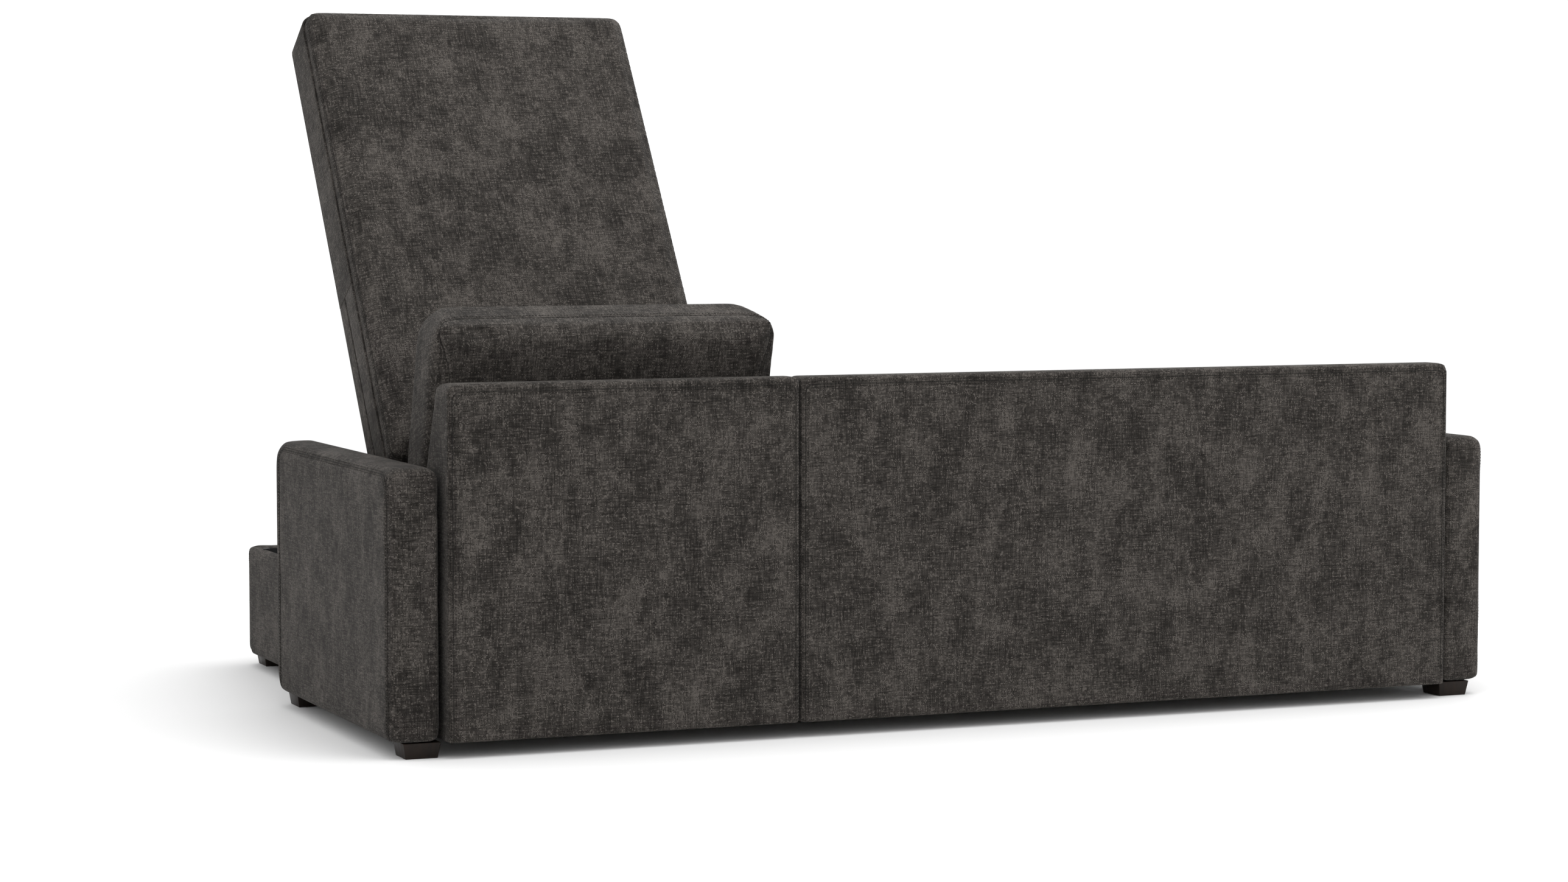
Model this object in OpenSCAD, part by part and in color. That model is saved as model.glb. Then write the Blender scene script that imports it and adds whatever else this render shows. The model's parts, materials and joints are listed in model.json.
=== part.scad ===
// Storage chaise sofa: a low sofa with a chaise at one end, whose seat lifts on gas springs.
// Origin: centre of the footprint, on the floor. +X runs along the sofa, +Y to its back.
// Places from back to front are given as distances forward of the back plane.

/* [Overall] */
// Width over both arms
total_w = 2450; // [2350:10:2600]
// Depth of the chaise from back plane to front
chaise_depth = 1570; // [1560:5:1600]
// Depth of the arms and the sofa seat
sofa_depth = 897; // [880:1:920]
// Width of the chaise back panel
chaise_back_w = 726; // [720:1:740]
// Height of the back frames
back_h = 720; // [690:10:760]
// Height of the underside above the floor
clear_h = 31; // [25:1:40]

/* [Arms] */
// Width of an arm
arm_w = 105; // [95:1:120]
// Height of an arm
arm_h = 565; // [540:1:590]
// How far an arm starts in front of the back plane
arm_inset = 20; // [15:1:30]

/* [Storage box] */
// Height of the box rim
rim_h = 278; // [274:1:279]
// Thickness of the boards
board_t = 18; // [16:1:20]
// Thickness of the padded front
front_pad_t = 72; // [65:1:76]
// Distance of the front face of the box's rear board from the back plane
box_rear = 430; // [425:1:434]

/* [Seat] */
// Height of the seat surface
seat_h = 431; // [425:1:436]
// Distance of the lid's rear end from the back plane
lid_rear = 445; // [442:1:450]
// Width of the lid
lid_w = 722; // [710:1:724]
// Thickness of the lid's base
lid_base_t = 49; // [45:1:52]

/* [Back cushion] */
// Lean of the back cushion from upright
cushion_lean = 16.4; // [12:0.1:20]
// Thickness of the back cushion
cushion_t = 126; // [110:1:140]
// Height of the back cushion's highest edge
cushion_h = 864; // [840:1:880]

/* [Lift mechanism] */
// Share of the full lift at which the lid is drawn
lift_share = 1; // [0:0.05:1]
// Angle that the lid turns through as it opens
lid_turn = 56; // [54:0.5:57]
// Angle that the lift arms turn through
arm_turn = 55.2; // [54.8:0.1:55.6]
// Thickness of the arms and links
bar_t = 5; // [4:0.5:5]
// Width of the arms and links
bar_w = 22; // [18:1:24]
// Radius of the pivot pins
pin_r = 5; // [4:0.5:5]
// Running clearance round a pin
pin_gap = 0.05; // [0.02:0.01:0.1]
// Outside radius of a gas spring cylinder
gas_r = 9; // [8:0.5:9]

/* [Feet] */
// Side of a foot at the floor
foot_floor = 65; // [55:1:70]
// Side of a foot at its top
foot_top = 75; // [66:1:78]

/* [Hidden] */
$fn = 32;
fabric = [0.27, 0.25, 0.24];
timber = [0.72, 0.58, 0.40];
steel = [0.55, 0.56, 0.58];
arc_steps = 6;

// Places across the sofa
half_w = total_w / 2;
arm_x = half_w - arm_w;
back_x = arm_x - 9;
joint_x = back_x - chaise_back_w;
module_gap = 4.5;
back_y = chaise_depth / 2;
cover_t = 7;
fit_gap = 1;
sofa_x = [-arm_x + 0.5, joint_x - module_gap];
chaise_x = [joint_x, arm_x];
board_x = [joint_x + cover_t, arm_x - cover_t];
box_x = [board_x[0] + board_t, board_x[1] - board_t];
lid_mid = (chaise_x[0] + chaise_x[1]) / 2;
lid_x = [lid_mid - lid_w / 2, lid_mid + lid_w / 2];

// Places from back to front
back_seat_d = 193;
board_front = chaise_depth - front_pad_t;
box_front = board_front - board_t;
lid_front = chaise_depth - 5;

// Heights
floor_t = 12;
box_floor_h = clear_h + 6;
rim_board_h = rim_h - 6;
lid_low = rim_h + 3;
pad_low = lid_low + lid_base_t + 4;
cushion_low = rim_h + 0.5;

// Outline of a back frame: how thick it is at its top, and its edge radii
back_top_t = 70;
back_edge_r = 18;

// The box wall is where the mechanism's layers are counted from
plate_t = 4;
arm_layer = [5, 5 + bar_t];
bracket_layer = [arm_layer[1] + 1, arm_layer[1] + 5];
spring_mid = 21;
spring_half = 9;
link_layer = [32, 32 + bar_t];

// Pivots of the closed mechanism, as [distance from the back plane, height]
arm_base = [737, 237];
lid_hinge_closed = [464, 214];
link_base = [1010, 112];
link_end_closed = [500, 164];
spring_base = [727, 103];
spring_reach = 131.7;
spring_offset = 6.8;
open_pin_slack = 2.5;
bar_eye_r = 14;

function y_of(d) = back_y - d;
function turned(a, p) = [cos(a) * p[0] - sin(a) * p[1], sin(a) * p[0] + cos(a) * p[1]];
function angle_of(v) = atan2(v[1], v[0]);
function on_arm(p) = arm_base + turned(-arm_turn * lift_share, p - arm_base);
function on_lid(p) = lid_hinge + turned(lid_turn * lift_share, p - lid_hinge_closed);

arm_angle_closed = angle_of(lid_hinge_closed - arm_base);
spring_top_closed = arm_base + turned(arm_angle_closed + spring_offset, [spring_reach, 0]);
lid_hinge = on_arm(lid_hinge_closed);
link_end = on_lid(link_end_closed);
spring_top = on_arm(spring_top_closed);
spring_now = norm(spring_top - spring_base);

// ---- Drawing helpers ----

// A box from ranges across, forward of the back plane, and up
module block(x, d, z) {
    translate([x[0], y_of(d[1]), z[0]]) cube([x[1] - x[0], d[1] - d[0], z[1] - z[0]]);
}

// Draws a side outline, in distance and height, and extrudes it across
module across(x) {
    translate([x[0], 0, 0]) rotate([90, 0, 90]) linear_extrude(x[1] - x[0])
        translate([back_y, 0]) mirror([1, 0]) children();
}

function arc(p, r, from, to) =
    [for (i = [0:arc_steps]) p + turned(from + (to - from) * i / arc_steps, [r, 0])];

function corner(p, r, from) = r <= 0 ? [p] : arc(p, r, from, from + 90);

// A rectangle with a radius for each corner, in turn from the lower left
module round_rect(lo, hi, r) {
    polygon(concat(
        corner([lo[0] + r[0], lo[1] + r[0]], r[0], 180),
        corner([hi[0] - r[1], lo[1] + r[1]], r[1], 270),
        corner([hi[0] - r[2], hi[1] - r[2]], r[2], 0),
        corner([lo[0] + r[3], hi[1] - r[3]], r[3], 90)));
}

// The part of its children inside an outline seen from above
module within_plan(x, d, z, r) {
    intersection() {
        children();
        translate([0, 0, z[0]]) linear_extrude(z[1] - z[0])
            round_rect([x[0], y_of(d[1])], [x[1], y_of(d[0])], r);
    }
}

// The part of its children inside an outline seen from the front
module within_front(x, d, z, r) {
    intersection() {
        children();
        translate([0, y_of(d[0]), 0]) rotate([90, 0, 0]) linear_extrude(d[1] - d[0])
            round_rect([x[0], z[0]], [x[1], z[1]], r);
    }
}

// A padded block, with corner radii seen from above, from the side and from the front
module soft_box(x, d, z, plan, side, front) {
    within_plan(x, d, z, plan) within_front(x, d, z, front)
        across(x) round_rect([d[0], z[0]], [d[1], z[1]], side);
}

module pin(p, x, r) {
    translate([x[0], y_of(p[0]), p[1]]) rotate([0, 90, 0]) cylinder(h = x[1] - x[0], r = r);
}

// Flat bar with a round eye at each end, in distance and height
module bar(p, q, w) {
    translate(p) circle(bar_eye_r);
    translate(q) circle(bar_eye_r);
    translate(p) rotate(angle_of(q - p)) translate([0, -w / 2]) square([norm(q - p), w]);
}

module hole(p, r) {
    translate(p) circle(r);
}

// A range of layers counted from the box wall, on the outer or the inner side
function layers(side, l) =
    side == "outer" ? [box_x[1] - l[1], box_x[1] - l[0]] : [box_x[0] + l[0], box_x[0] + l[1]];

// Moves what is drawn closed to where the lid stands
module on_open_lid() {
    translate([0, y_of(lid_hinge[0]), lid_hinge[1]]) rotate([-lid_turn * lift_share, 0, 0])
        translate([0, -y_of(lid_hinge_closed[0]), -lid_hinge_closed[1]]) children();
}

// ---- Backs ----

module back_outline() {
    polygon(concat(
        [[back_seat_d, clear_h], [0, clear_h]],
        arc([back_edge_r, back_h - back_edge_r], back_edge_r, 180, 90),
        arc([back_top_t - 12, back_h - 16], 16, 90, 23),
        [[back_seat_d, seat_h - 1]]));
}

// Foam over a back's frame, on its faces and at its two ends
back_foam = 16;
back_end_foam = 20;
module inner_back_outline() {
    offset(delta = -back_foam) back_outline();
}

// An upholstered back: rear edges and top corners rounded, hollow for its frame
module back_cover(x, top_r) {
    difference() {
        within_plan(x, [0, back_seat_d], [clear_h, back_h], [0, 0, 9, 9])
            within_front(x, [0, back_seat_d], [clear_h, back_h], [6, 6, top_r[1], top_r[0]])
            across(x) back_outline();
        across([x[0] + back_end_foam, x[1] - back_end_foam]) inner_back_outline();
    }
}

// Ribs of the back's own outline joined by rails
module back_frame(x, ribs) {
    span = [x[0] + back_end_foam + fit_gap, x[1] - back_end_foam - fit_gap];
    pitch = (span[1] - span[0] - board_t) / (ribs - 1);
    intersection() {
        across(span) offset(delta = -fit_gap) inner_back_outline();
        union() {
            for (i = [0:ribs - 1])
                block([span[0] + i * pitch, span[0] + i * pitch + board_t], [0, back_seat_d], [0, back_h]);
            for (z = [clear_h, 330, back_h - 100]) block(span, [0, 42], [z, z + 90]);
            block(span, [back_seat_d - 44, back_seat_d], [clear_h, 130]);
        }
    }
}

module chaise_back_cover() { color(fabric) back_cover([joint_x, back_x], [26, 12]); }
module chaise_back_frame() { color(timber) back_frame([joint_x, back_x], 3); }
module sofa_back_cover() { color(fabric) back_cover([-back_x, sofa_x[1]], [26, 10]); }
module sofa_back_frame() { color(timber) back_frame([-back_x, sofa_x[1]], 5); }

// ---- Arms ----

// Foam on an arm's sides, and the space inside for its frame
arm_wall = 20;
arm_inside_d = [arm_inset + 22, sofa_depth - 60];
arm_inside_z = [clear_h + 6, arm_h - 24];

module arm_cover(x, outer_side) {
    front_r = 70;
    rear_r = 25;
    edge_r = 20;
    plan = outer_side == "right" ? [20, front_r, rear_r, 20] : [front_r, 20, 20, rear_r];
    difference() {
        soft_box(x, [arm_inset, sofa_depth], [clear_h, arm_h],
            plan, [8, 16, 26, 22], [10, 10, edge_r, edge_r]);
        block([x[0] + arm_wall, x[1] - arm_wall], arm_inside_d, arm_inside_z);
        foot_bolt_holes();
    }
}

// A box of thin boards that fills the arm's cover
module arm_frame(x) {
    out_x = [x[0] + arm_wall + 0.5, x[1] - arm_wall - 0.5];
    out_d = [arm_inside_d[0] + 0.5, arm_inside_d[1] - 0.5];
    out_z = [arm_inside_z[0], arm_inside_z[1] - 0.5];
    t = 12;
    difference() {
        block(out_x, out_d, out_z);
        block([out_x[0] + t, out_x[1] - t], [out_d[0] + board_t, out_d[1] - board_t],
            [out_z[0] + board_t, out_z[1] - t]);
        foot_bolt_holes();
    }
}

module chaise_arm_cover() { color(fabric) arm_cover([arm_x, half_w], "right"); }
module chaise_arm_frame() { color(timber) arm_frame([arm_x, half_w]); }
module sofa_arm_cover() { color(fabric) arm_cover([-half_w, -arm_x], "left"); }
module sofa_arm_frame() { color(timber) arm_frame([-half_w, -arm_x]); }

// ---- Storage box ----

box_side_d = [back_seat_d + 2, box_front];
box_side_z = [clear_h + 2, rim_board_h];

module box_side_outer() { color(timber) block([box_x[1], board_x[1]], box_side_d, box_side_z); }
module box_side_inner() { color(timber) block([board_x[0], box_x[0]], box_side_d, box_side_z); }

// The front board, with a low rail that carries the front feet
module box_front_board() {
    color(timber) difference() {
        union() {
            block(board_x, [box_front, board_front], box_side_z);
            block(front_rail_x, front_rail_d, front_rail_z);
        }
        foot_bolt_holes();
    }
}

front_rail_x = [board_x[0] + 14, board_x[1] - 14];
front_rail_d = [board_front, board_front + 50];
front_rail_z = [clear_h, clear_h + 44];

module box_rear_board() {
    color(timber)
        block(box_x, [box_rear - board_t, box_rear], [box_floor_h + floor_t, rim_board_h - board_t]);
}
module box_floor() {
    color(timber) block(box_x, [box_rear - board_t, box_front], [box_floor_h, box_floor_h + floor_t]);
}

// A side cover lies over the board's outside and wraps over its top edge
module side_cover(outside_x, top_x) {
    color(fabric) {
        block(outside_x, [back_seat_d + 2, board_front - fit_gap / 2], [clear_h, rim_h]);
        block(top_x, box_side_d, [rim_board_h, rim_h]);
    }
}
module side_cover_outer() { side_cover([board_x[1], chaise_x[1]], [box_x[1], board_x[1]]); }
module side_cover_inner() { side_cover([chaise_x[0], board_x[0]], [board_x[0], box_x[0]]); }

// The padded front, with large outer corners and a soft rounded top, which also caps the front board
module front_pad() {
    color(fabric) difference() {
        union() {
            soft_box(chaise_x, [board_front, chaise_depth], [clear_h, rim_h],
                [70, 70, 0, 0], [0, 25, 70, 0], [10, 10, 14, 14]);
            block(board_x, [box_front, board_front + 10], [rim_board_h, rim_h]);
        }
        block([front_rail_x[0] - 0.5, front_rail_x[1] + 0.5],
            [board_front - 1, front_rail_d[1] + 0.5], [clear_h - 1, front_rail_z[1] + 0.5]);
    }
}

// Round bumpers on the rim, which the closed lid rests on
module rim_bumpers() {
    color([0.1, 0.1, 0.1])
    for (x = [(box_x[0] + board_x[0]) / 2, (box_x[1] + board_x[1]) / 2], d = [560, 980, 1400])
        translate([x, y_of(d), rim_h]) cylinder(h = 2.5, r = 8);
}

// ---- Fixed deck behind the lid ----

module deck_board() {
    color(timber) block(box_x, [back_seat_d + 2, box_rear], [rim_board_h - board_t, rim_board_h]);
}

// Its front leans back, so that the lid's rear edge clears it as the lid tips up
module deck_pad() {
    x = [chaise_x[0] + 3, chaise_x[1] - 3];
    d = [back_seat_d + 3, lid_rear - 8];
    z = [rim_h + 0.5, seat_h - 1];
    lean_back = 32;
    edge_r = 12;
    color(fabric) within_front(x, d, z, [8, 8, 14, 14]) across(x)
        polygon(concat([[d[0], z[0]], [d[1], z[0]]],
            arc([d[1] - lean_back - edge_r, z[1] - edge_r], edge_r, 10, 90), [[d[0], z[1]]]));
}

// ---- Sofa seat ----

frame_d = [back_seat_d + 2, sofa_depth - 32];
frame_z = [120, 262];
beam_x = [-380, -360];

// Front and rear rails, two ends and a centre beam that stands on the centre feet
module seat_frame() {
    x = [sofa_x[0] + 2, sofa_x[1] - 3];
    color(timber) {
        block(x, [frame_d[0], frame_d[0] + board_t], frame_z);
        block(x, [frame_d[1] - board_t, frame_d[1]], frame_z);
        for (e = [x[0], x[1] - board_t])
            block([e, e + board_t], [frame_d[0] + board_t, frame_d[1] - board_t], [clear_h + 3, frame_z[1]]);
        block(beam_x, [frame_d[0] + board_t, frame_d[1] - board_t], [clear_h + 3, frame_z[1]]);
    }
}

webbing_w = 60;
webbing_t = 2;
module webbing_long() {
    count = 12;
    margin = 60;
    pitch = (sofa_x[1] - sofa_x[0] - 2 * margin) / count;
    color([0.15, 0.15, 0.16]) for (i = [0:count - 1]) {
        x = sofa_x[0] + margin + (i + 0.5) * pitch - webbing_w / 2;
        block([x, x + webbing_w], frame_d, [frame_z[1], frame_z[1] + webbing_t]);
    }
}
module webbing_cross() {
    color([0.15, 0.15, 0.16]) for (d = [300, 460, 620])
        block([sofa_x[0] + 2, sofa_x[1] - 3], [d, d + webbing_w],
            [frame_z[1] + webbing_t, frame_z[1] + 2 * webbing_t]);
}
module seat_deck() {
    color([0.2, 0.2, 0.2])
        block([sofa_x[0] + 2, sofa_x[1] - 3], frame_d, [frame_z[1] + 2 * webbing_t, rim_h]);
}
module front_border() {
    color(fabric) soft_box([sofa_x[0] + 0.5, sofa_x[1]], [frame_d[1], sofa_depth - 6], [clear_h, rim_h],
        [6, 12, 0, 0], [0, 12, 16, 0], [8, 8, 10, 10]);
}
module joint_side_cover() {
    color(fabric) block([sofa_x[1] - 3, sofa_x[1]], frame_d, [clear_h, rim_h]);
}
module dust_cover() {
    color([0.08, 0.08, 0.08]) block([sofa_x[0] + 2, sofa_x[1] - 3], frame_d, [clear_h, clear_h + 3]);
}

cushion_gap = 4;
sofa_mid = (sofa_x[0] + sofa_x[1]) / 2;
module seat_cushion(x) {
    color(fabric) soft_box(x, [back_seat_d + 4, sofa_depth - 4], [cushion_low, seat_h],
        [30, 30, 16, 16], [20, 20, 30, 20], [20, 20, 20, 20]);
}
module seat_cushion_left() { seat_cushion([sofa_x[0] + 4, sofa_mid - cushion_gap / 2]); }
module seat_cushion_right() { seat_cushion([sofa_mid + cushion_gap / 2, sofa_x[1] - 3]); }

// ---- Loose back cushion ----

// Stands on the deck and leans back, squashed flat where it rests
module back_cushion() {
    x = [chaise_x[0] + 2, back_x - 9];
    base_h = seat_h + 0.5;
    front_foot = 354;
    lean = [-sin(cushion_lean), cos(cushion_lean)];
    front_low = [front_foot, base_h];
    front_high = front_low + lean * (cushion_h - base_h) / cos(cushion_lean);
    rear_high = front_high - cushion_t * [cos(cushion_lean), sin(cushion_lean)];
    rear_low = [front_foot - cushion_t / cos(cushion_lean), base_h];
    color(fabric) within_front(x, [rear_high[0], front_foot], [base_h, cushion_h], [30, 30, 75, 75])
        across(x) polygon([front_low, front_high, rear_high, rear_low]);
}

// ---- Feet ----

corner_feet = [
    [half_w - 68, 70], [68 - half_w, 70],
    [half_w - 68, 843], [68 - half_w, 843],
    [chaise_x[1] - 69, chaise_depth - 49], [chaise_x[0] + 69, chaise_depth - 49],
];
bolt_r = 4;
bolt_z = [10, clear_h + 24];

module foot_bolt_holes() {
    for (p = corner_feet) translate([p[0], y_of(p[1]), bolt_z[0] - 1])
        cylinder(h = bolt_z[1] - bolt_z[0] + 2, r = bolt_r + 0.2);
}

// A square block that tapers to the floor, bored for its bolt
module feet() {
    taper = (foot_top - foot_floor) / 2;
    low = foot_floor / 2;
    side = [[-low, 0], [low, 0], [low + taper, clear_h], [-low - taper, clear_h]];
    color([0.16, 0.13, 0.11]) difference() {
        for (p = corner_feet) translate([p[0], y_of(p[1]), 0]) intersection() {
            translate([0, foot_top / 2, 0]) rotate([90, 0, 0]) linear_extrude(foot_top) polygon(side);
            translate([-foot_top / 2, 0, 0]) rotate([90, 0, 90]) linear_extrude(foot_top) polygon(side);
        }
        foot_bolt_holes();
        for (p = corner_feet) translate([p[0], y_of(p[1]), -1]) cylinder(h = bolt_z[0] + 1, r = 9);
    }
}
module foot_bolts() {
    color(steel) for (p = corner_feet) translate([p[0], y_of(p[1]), 0]) {
        translate([0, 0, bolt_z[0]]) cylinder(h = bolt_z[1] - bolt_z[0], r = bolt_r);
        translate([0, 0, bolt_z[0] - 5]) cylinder(h = 5, r = 7);
    }
}
module centre_feet() {
    x = (beam_x[0] + beam_x[1]) / 2;
    color([0.08, 0.08, 0.08]) for (p = [[x, 350], [x, 800], [lid_mid, 600]])
        translate([p[0], y_of(p[1]), 0]) cylinder(h = p[0] == x ? clear_h : box_floor_h, r = 25);
}

// ---- Module connectors ----

connector_places = [300, 780];
connector_z = [110, 190];
slot_z = [140, 164];
// A slotted plate on the sofa's side
module connector_plates() {
    color(steel) for (d = connector_places) difference() {
        block([sofa_x[1], sofa_x[1] + 1.8], [d, d + 50], connector_z);
        block([sofa_x[1] - 1, sofa_x[1] + 3], [d + 10, d + 40], slot_z);
    }
}
// A plate on the chaise's side, with a tongue that drops into the slot
module connector_hooks() {
    color(steel) for (d = connector_places) {
        block([joint_x - 2, joint_x], [d, d + 50], connector_z);
        block([joint_x - 4.2, joint_x - 2], [d + 12, d + 38], [slot_z[0] + 2, slot_z[1] - 6]);
    }
}

// ---- Lid ----

lid_corner = 32;
rail_w = 45;
// Foam round the lid's frame, which also sets how round the frame's own corners are
lid_wall = 15;
frame_corner = lid_corner - lid_wall - 2;

// A shallow upholstered tray, closed over its frame
module lid_base_cover() {
    z = [lid_low, lid_low + lid_base_t];
    color(fabric) on_open_lid() difference() {
        soft_box(lid_x, [lid_rear, lid_front], z, [lid_corner, lid_corner, 15, 15],
            [10, 12, 4, 4], [10, 10, 4, 4]);
        within_plan([lid_x[0] + lid_wall, lid_x[1] - lid_wall], [lid_rear + lid_wall, lid_front - lid_wall],
            [z[0] + 5, z[1] - 3], [frame_corner + 1, frame_corner + 1, 8, 8])
            block(lid_x, [lid_rear, lid_front], z);
    }
}

lid_inside_x = [lid_x[0] + lid_wall + 1, lid_x[1] - lid_wall - 1];
lid_inside_d = [lid_rear + lid_wall + 1, lid_front - lid_wall - 1];
rails_z = [lid_low + 5, lid_low + lid_base_t - 12.5];

// A ladder of two long rails, two ends and three cross rails
module lid_rails() {
    color(timber) on_open_lid() intersection() {
        union() {
            for (x = [lid_inside_x[0], lid_inside_x[1] - rail_w])
                block([x, x + rail_w], lid_inside_d, rails_z);
            for (i = [0:4]) block(lid_inside_x, [rail_d(i), rail_d(i) + rail_w], rails_z);
        }
        within_plan(lid_inside_x, lid_inside_d, rails_z, [frame_corner, frame_corner, 6, 6])
            block(lid_x, [lid_rear, lid_front], rails_z);
    }
}
function rail_d(i) = lid_inside_d[0] + i * (lid_inside_d[1] - lid_inside_d[0] - rail_w) / 4;

module lid_board() {
    z = [rails_z[1], rails_z[1] + 9];
    color(timber) on_open_lid() within_plan(lid_inside_x, lid_inside_d, z, [frame_corner, frame_corner, 6, 6])
        block(lid_x, [lid_rear, lid_front], z);
}
// Set in from the edge, so that a dark slit shows between base and pad
module pad_board() {
    z = [lid_low + lid_base_t, pad_low];
    slit = 14;
    x = [lid_x[0] + slit, lid_x[1] - slit];
    d = [lid_rear + slit, lid_front - slit];
    color([0.1, 0.1, 0.1]) on_open_lid() within_plan(x, d, z, [lid_corner - slit, lid_corner - slit, 8, 8])
        block(x, d, z);
}
module lid_pad() {
    color(fabric) on_open_lid() soft_box(lid_x, [lid_rear, lid_front], [pad_low, seat_h],
        [lid_corner, lid_corner, 18, 18], [8, 10, 26, 40], [8, 8, 18, 18]);
}

// ---- Lift mechanism, one on each side wall of the box ----

module base_plate(side) {
    color(steel) across(layers(side, [0, plate_t])) difference() {
        polygon([[696, 76], [1028, 84], [1036, 132], [768, 264], [706, 264], [690, 240]]);
        for (p = [arm_base, link_base, spring_base]) hole(p, pin_r);
        for (p = plate_screw_places) hole(p, 2.5);
    }
}
plate_screw_places = [[712, 180], [800, 225], [880, 100], [960, 150], [1012, 92]];
module base_plate_outer() { base_plate("outer"); }
module base_plate_inner() { base_plate("inner"); }

sides = ["outer", "inner"];
module plate_screws() {
    color(steel) for (side = sides, p = plate_screw_places) {
        pin(p, layers(side, [0, plate_t]), 2.5);
        pin(p, layers(side, [plate_t, plate_t + 0.8]), 4.5);
    }
}

// Fixed pivots: each is a pin with a collar on the plate, and a head
module base_pins() {
    color(steel) for (side = sides) {
        pin(arm_base, layers(side, [0, arm_layer[1] + 0.3]), pin_r);
        pin(arm_base, layers(side, [arm_layer[1] + 0.3, arm_layer[1] + 3]), 9);
        pin(spring_base, layers(side, [0, spring_mid + spring_half + 0.5]), pin_r);
        pin(spring_base, layers(side, [plate_t, spring_mid - spring_half - 0.5]), 8);
        pin(link_base, layers(side, [0, link_layer[1] + 0.3]), pin_r);
        pin(link_base, layers(side, [plate_t, link_layer[0] - 0.3]), 8);
        pin(link_base, layers(side, [link_layer[1] + 0.3, link_layer[1] + 3]), 9);
    }
}

module lift_arm(side) {
    color(steel) across(layers(side, arm_layer)) difference() {
        union() {
            bar(arm_base, lid_hinge, bar_w);
            translate(spring_top) circle(14);
        }
        hole(arm_base, pin_r + pin_gap);
        hole(lid_hinge, pin_r);
        hole(spring_top, pin_r - 1);
    }
}
module lift_arm_outer() { lift_arm("outer"); }
module lift_arm_inner() { lift_arm("inner"); }

// Hinge pins for the lid, and studs that the gas springs push on
module arm_pins() {
    color(steel) for (side = sides) {
        pin(lid_hinge, layers(side, [arm_layer[0], bracket_layer[1] + 0.3]), pin_r);
        pin(lid_hinge, layers(side, [bracket_layer[1] + 0.3, bracket_layer[1] + 3]), 9);
        pin(spring_top, layers(side, [arm_layer[0], spring_mid - spring_half + 0.5]), pin_r - 1);
    }
}

module control_link(side) {
    color(steel) across(layers(side, link_layer)) difference() {
        bar(link_base, link_end, bar_w);
        hole(link_base, pin_r + pin_gap);
        hole(link_end, pin_r);
    }
}
module control_link_outer() { control_link("outer"); }
module control_link_inner() { control_link("inner"); }

// Pins at the links' lid ends, flush with the back of the lid bracket
module link_pins() {
    color(steel) for (side = sides) {
        pin(link_end, layers(side, [bracket_layer[0] + 0.2, link_layer[1]]), pin_r);
        pin(link_end, layers(side, [bracket_layer[1] + 0.3, link_layer[0]]), 10);
    }
}

// A plate that hangs from the lid's underside, with a flange screwed to its rails
flange_d = [458, 640];
bracket_screw_places = [475, 560, 625];
module lid_bracket(side) {
    color(steel) on_open_lid() {
        across(layers(side, bracket_layer)) difference() {
            union() {
                translate(lid_hinge_closed) circle(14);
                translate(link_end_closed) circle(14);
                polygon([lid_hinge_closed + [-12, 5], [flange_d[0], lid_low], [flange_d[1], lid_low],
                    [flange_d[1], lid_low - 14], link_end_closed + [12, 5], link_end_closed + [-11, -7]]);
            }
            hole(lid_hinge_closed, pin_r + pin_gap);
            hole(link_end_closed, pin_r + open_pin_slack);
        }
        difference() {
            block(layers(side, [bracket_layer[1], bracket_layer[1] + 30]), flange_d, [lid_low - 3, lid_low]);
            for (d = bracket_screw_places) bracket_screw(side, d, 2.5, 5);
        }
    }
}
module bracket_screw(side, d, r, h) {
    x = layers(side, [bracket_layer[1] + 15, bracket_layer[1] + 15])[0];
    translate([x, y_of(d), lid_low - h]) cylinder(h = h, r = r);
}
module lid_bracket_outer() { lid_bracket("outer"); }
module lid_bracket_inner() { lid_bracket("inner"); }
module bracket_screws() {
    color(steel) on_open_lid() for (side = sides, d = bracket_screw_places) {
        bracket_screw(side, d, 2.5, 3);
        translate([0, 0, -3]) bracket_screw(side, d, 4.5, 1.5);
    }
}

// Gas spring: the cylinder turns on the base plate's post, and the rod pushes the arm's stud
eye_r = 11;
bore_from = 34;
cylinder_len = 138;
rod_r = 4;
rod_len = 124;

module along_spring(side) {
    x = layers(side, [spring_mid, spring_mid])[0];
    translate([x, y_of(spring_base[0]), spring_base[1]]) rotate([-angle_of(spring_top - spring_base), 0, 0])
        rotate([90, 0, 0]) children();
}
module gas_cylinder(side) {
    x = layers(side, [spring_mid - spring_half, spring_mid + spring_half]);
    color([0.07, 0.07, 0.08]) difference() {
        union() {
            along_spring(side) translate([0, 0, 8]) cylinder(h = cylinder_len - 8, r = gas_r);
            pin(spring_base, x, eye_r);
        }
        pin(spring_base, [x[0] - 1, x[1] + 1], pin_r + pin_gap);
        along_spring(side) translate([0, 0, bore_from]) cylinder(h = cylinder_len, r = rod_r + pin_gap);
    }
}
module gas_cylinder_outer() { gas_cylinder("outer"); }
module gas_cylinder_inner() { gas_cylinder("inner"); }

module gas_rod(side) {
    x = layers(side, [spring_mid - spring_half + 1, spring_mid + spring_half - 1]);
    rod_low = spring_now - rod_len;
    color([0.75, 0.76, 0.78]) {
        along_spring(side) translate([0, 0, rod_low]) cylinder(h = rod_len - 4, r = rod_r);
        pin(spring_top, x, 9);
    }
}
module gas_rod_outer() { gas_rod("outer"); }
module gas_rod_inner() { gas_rod("inner"); }

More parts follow.
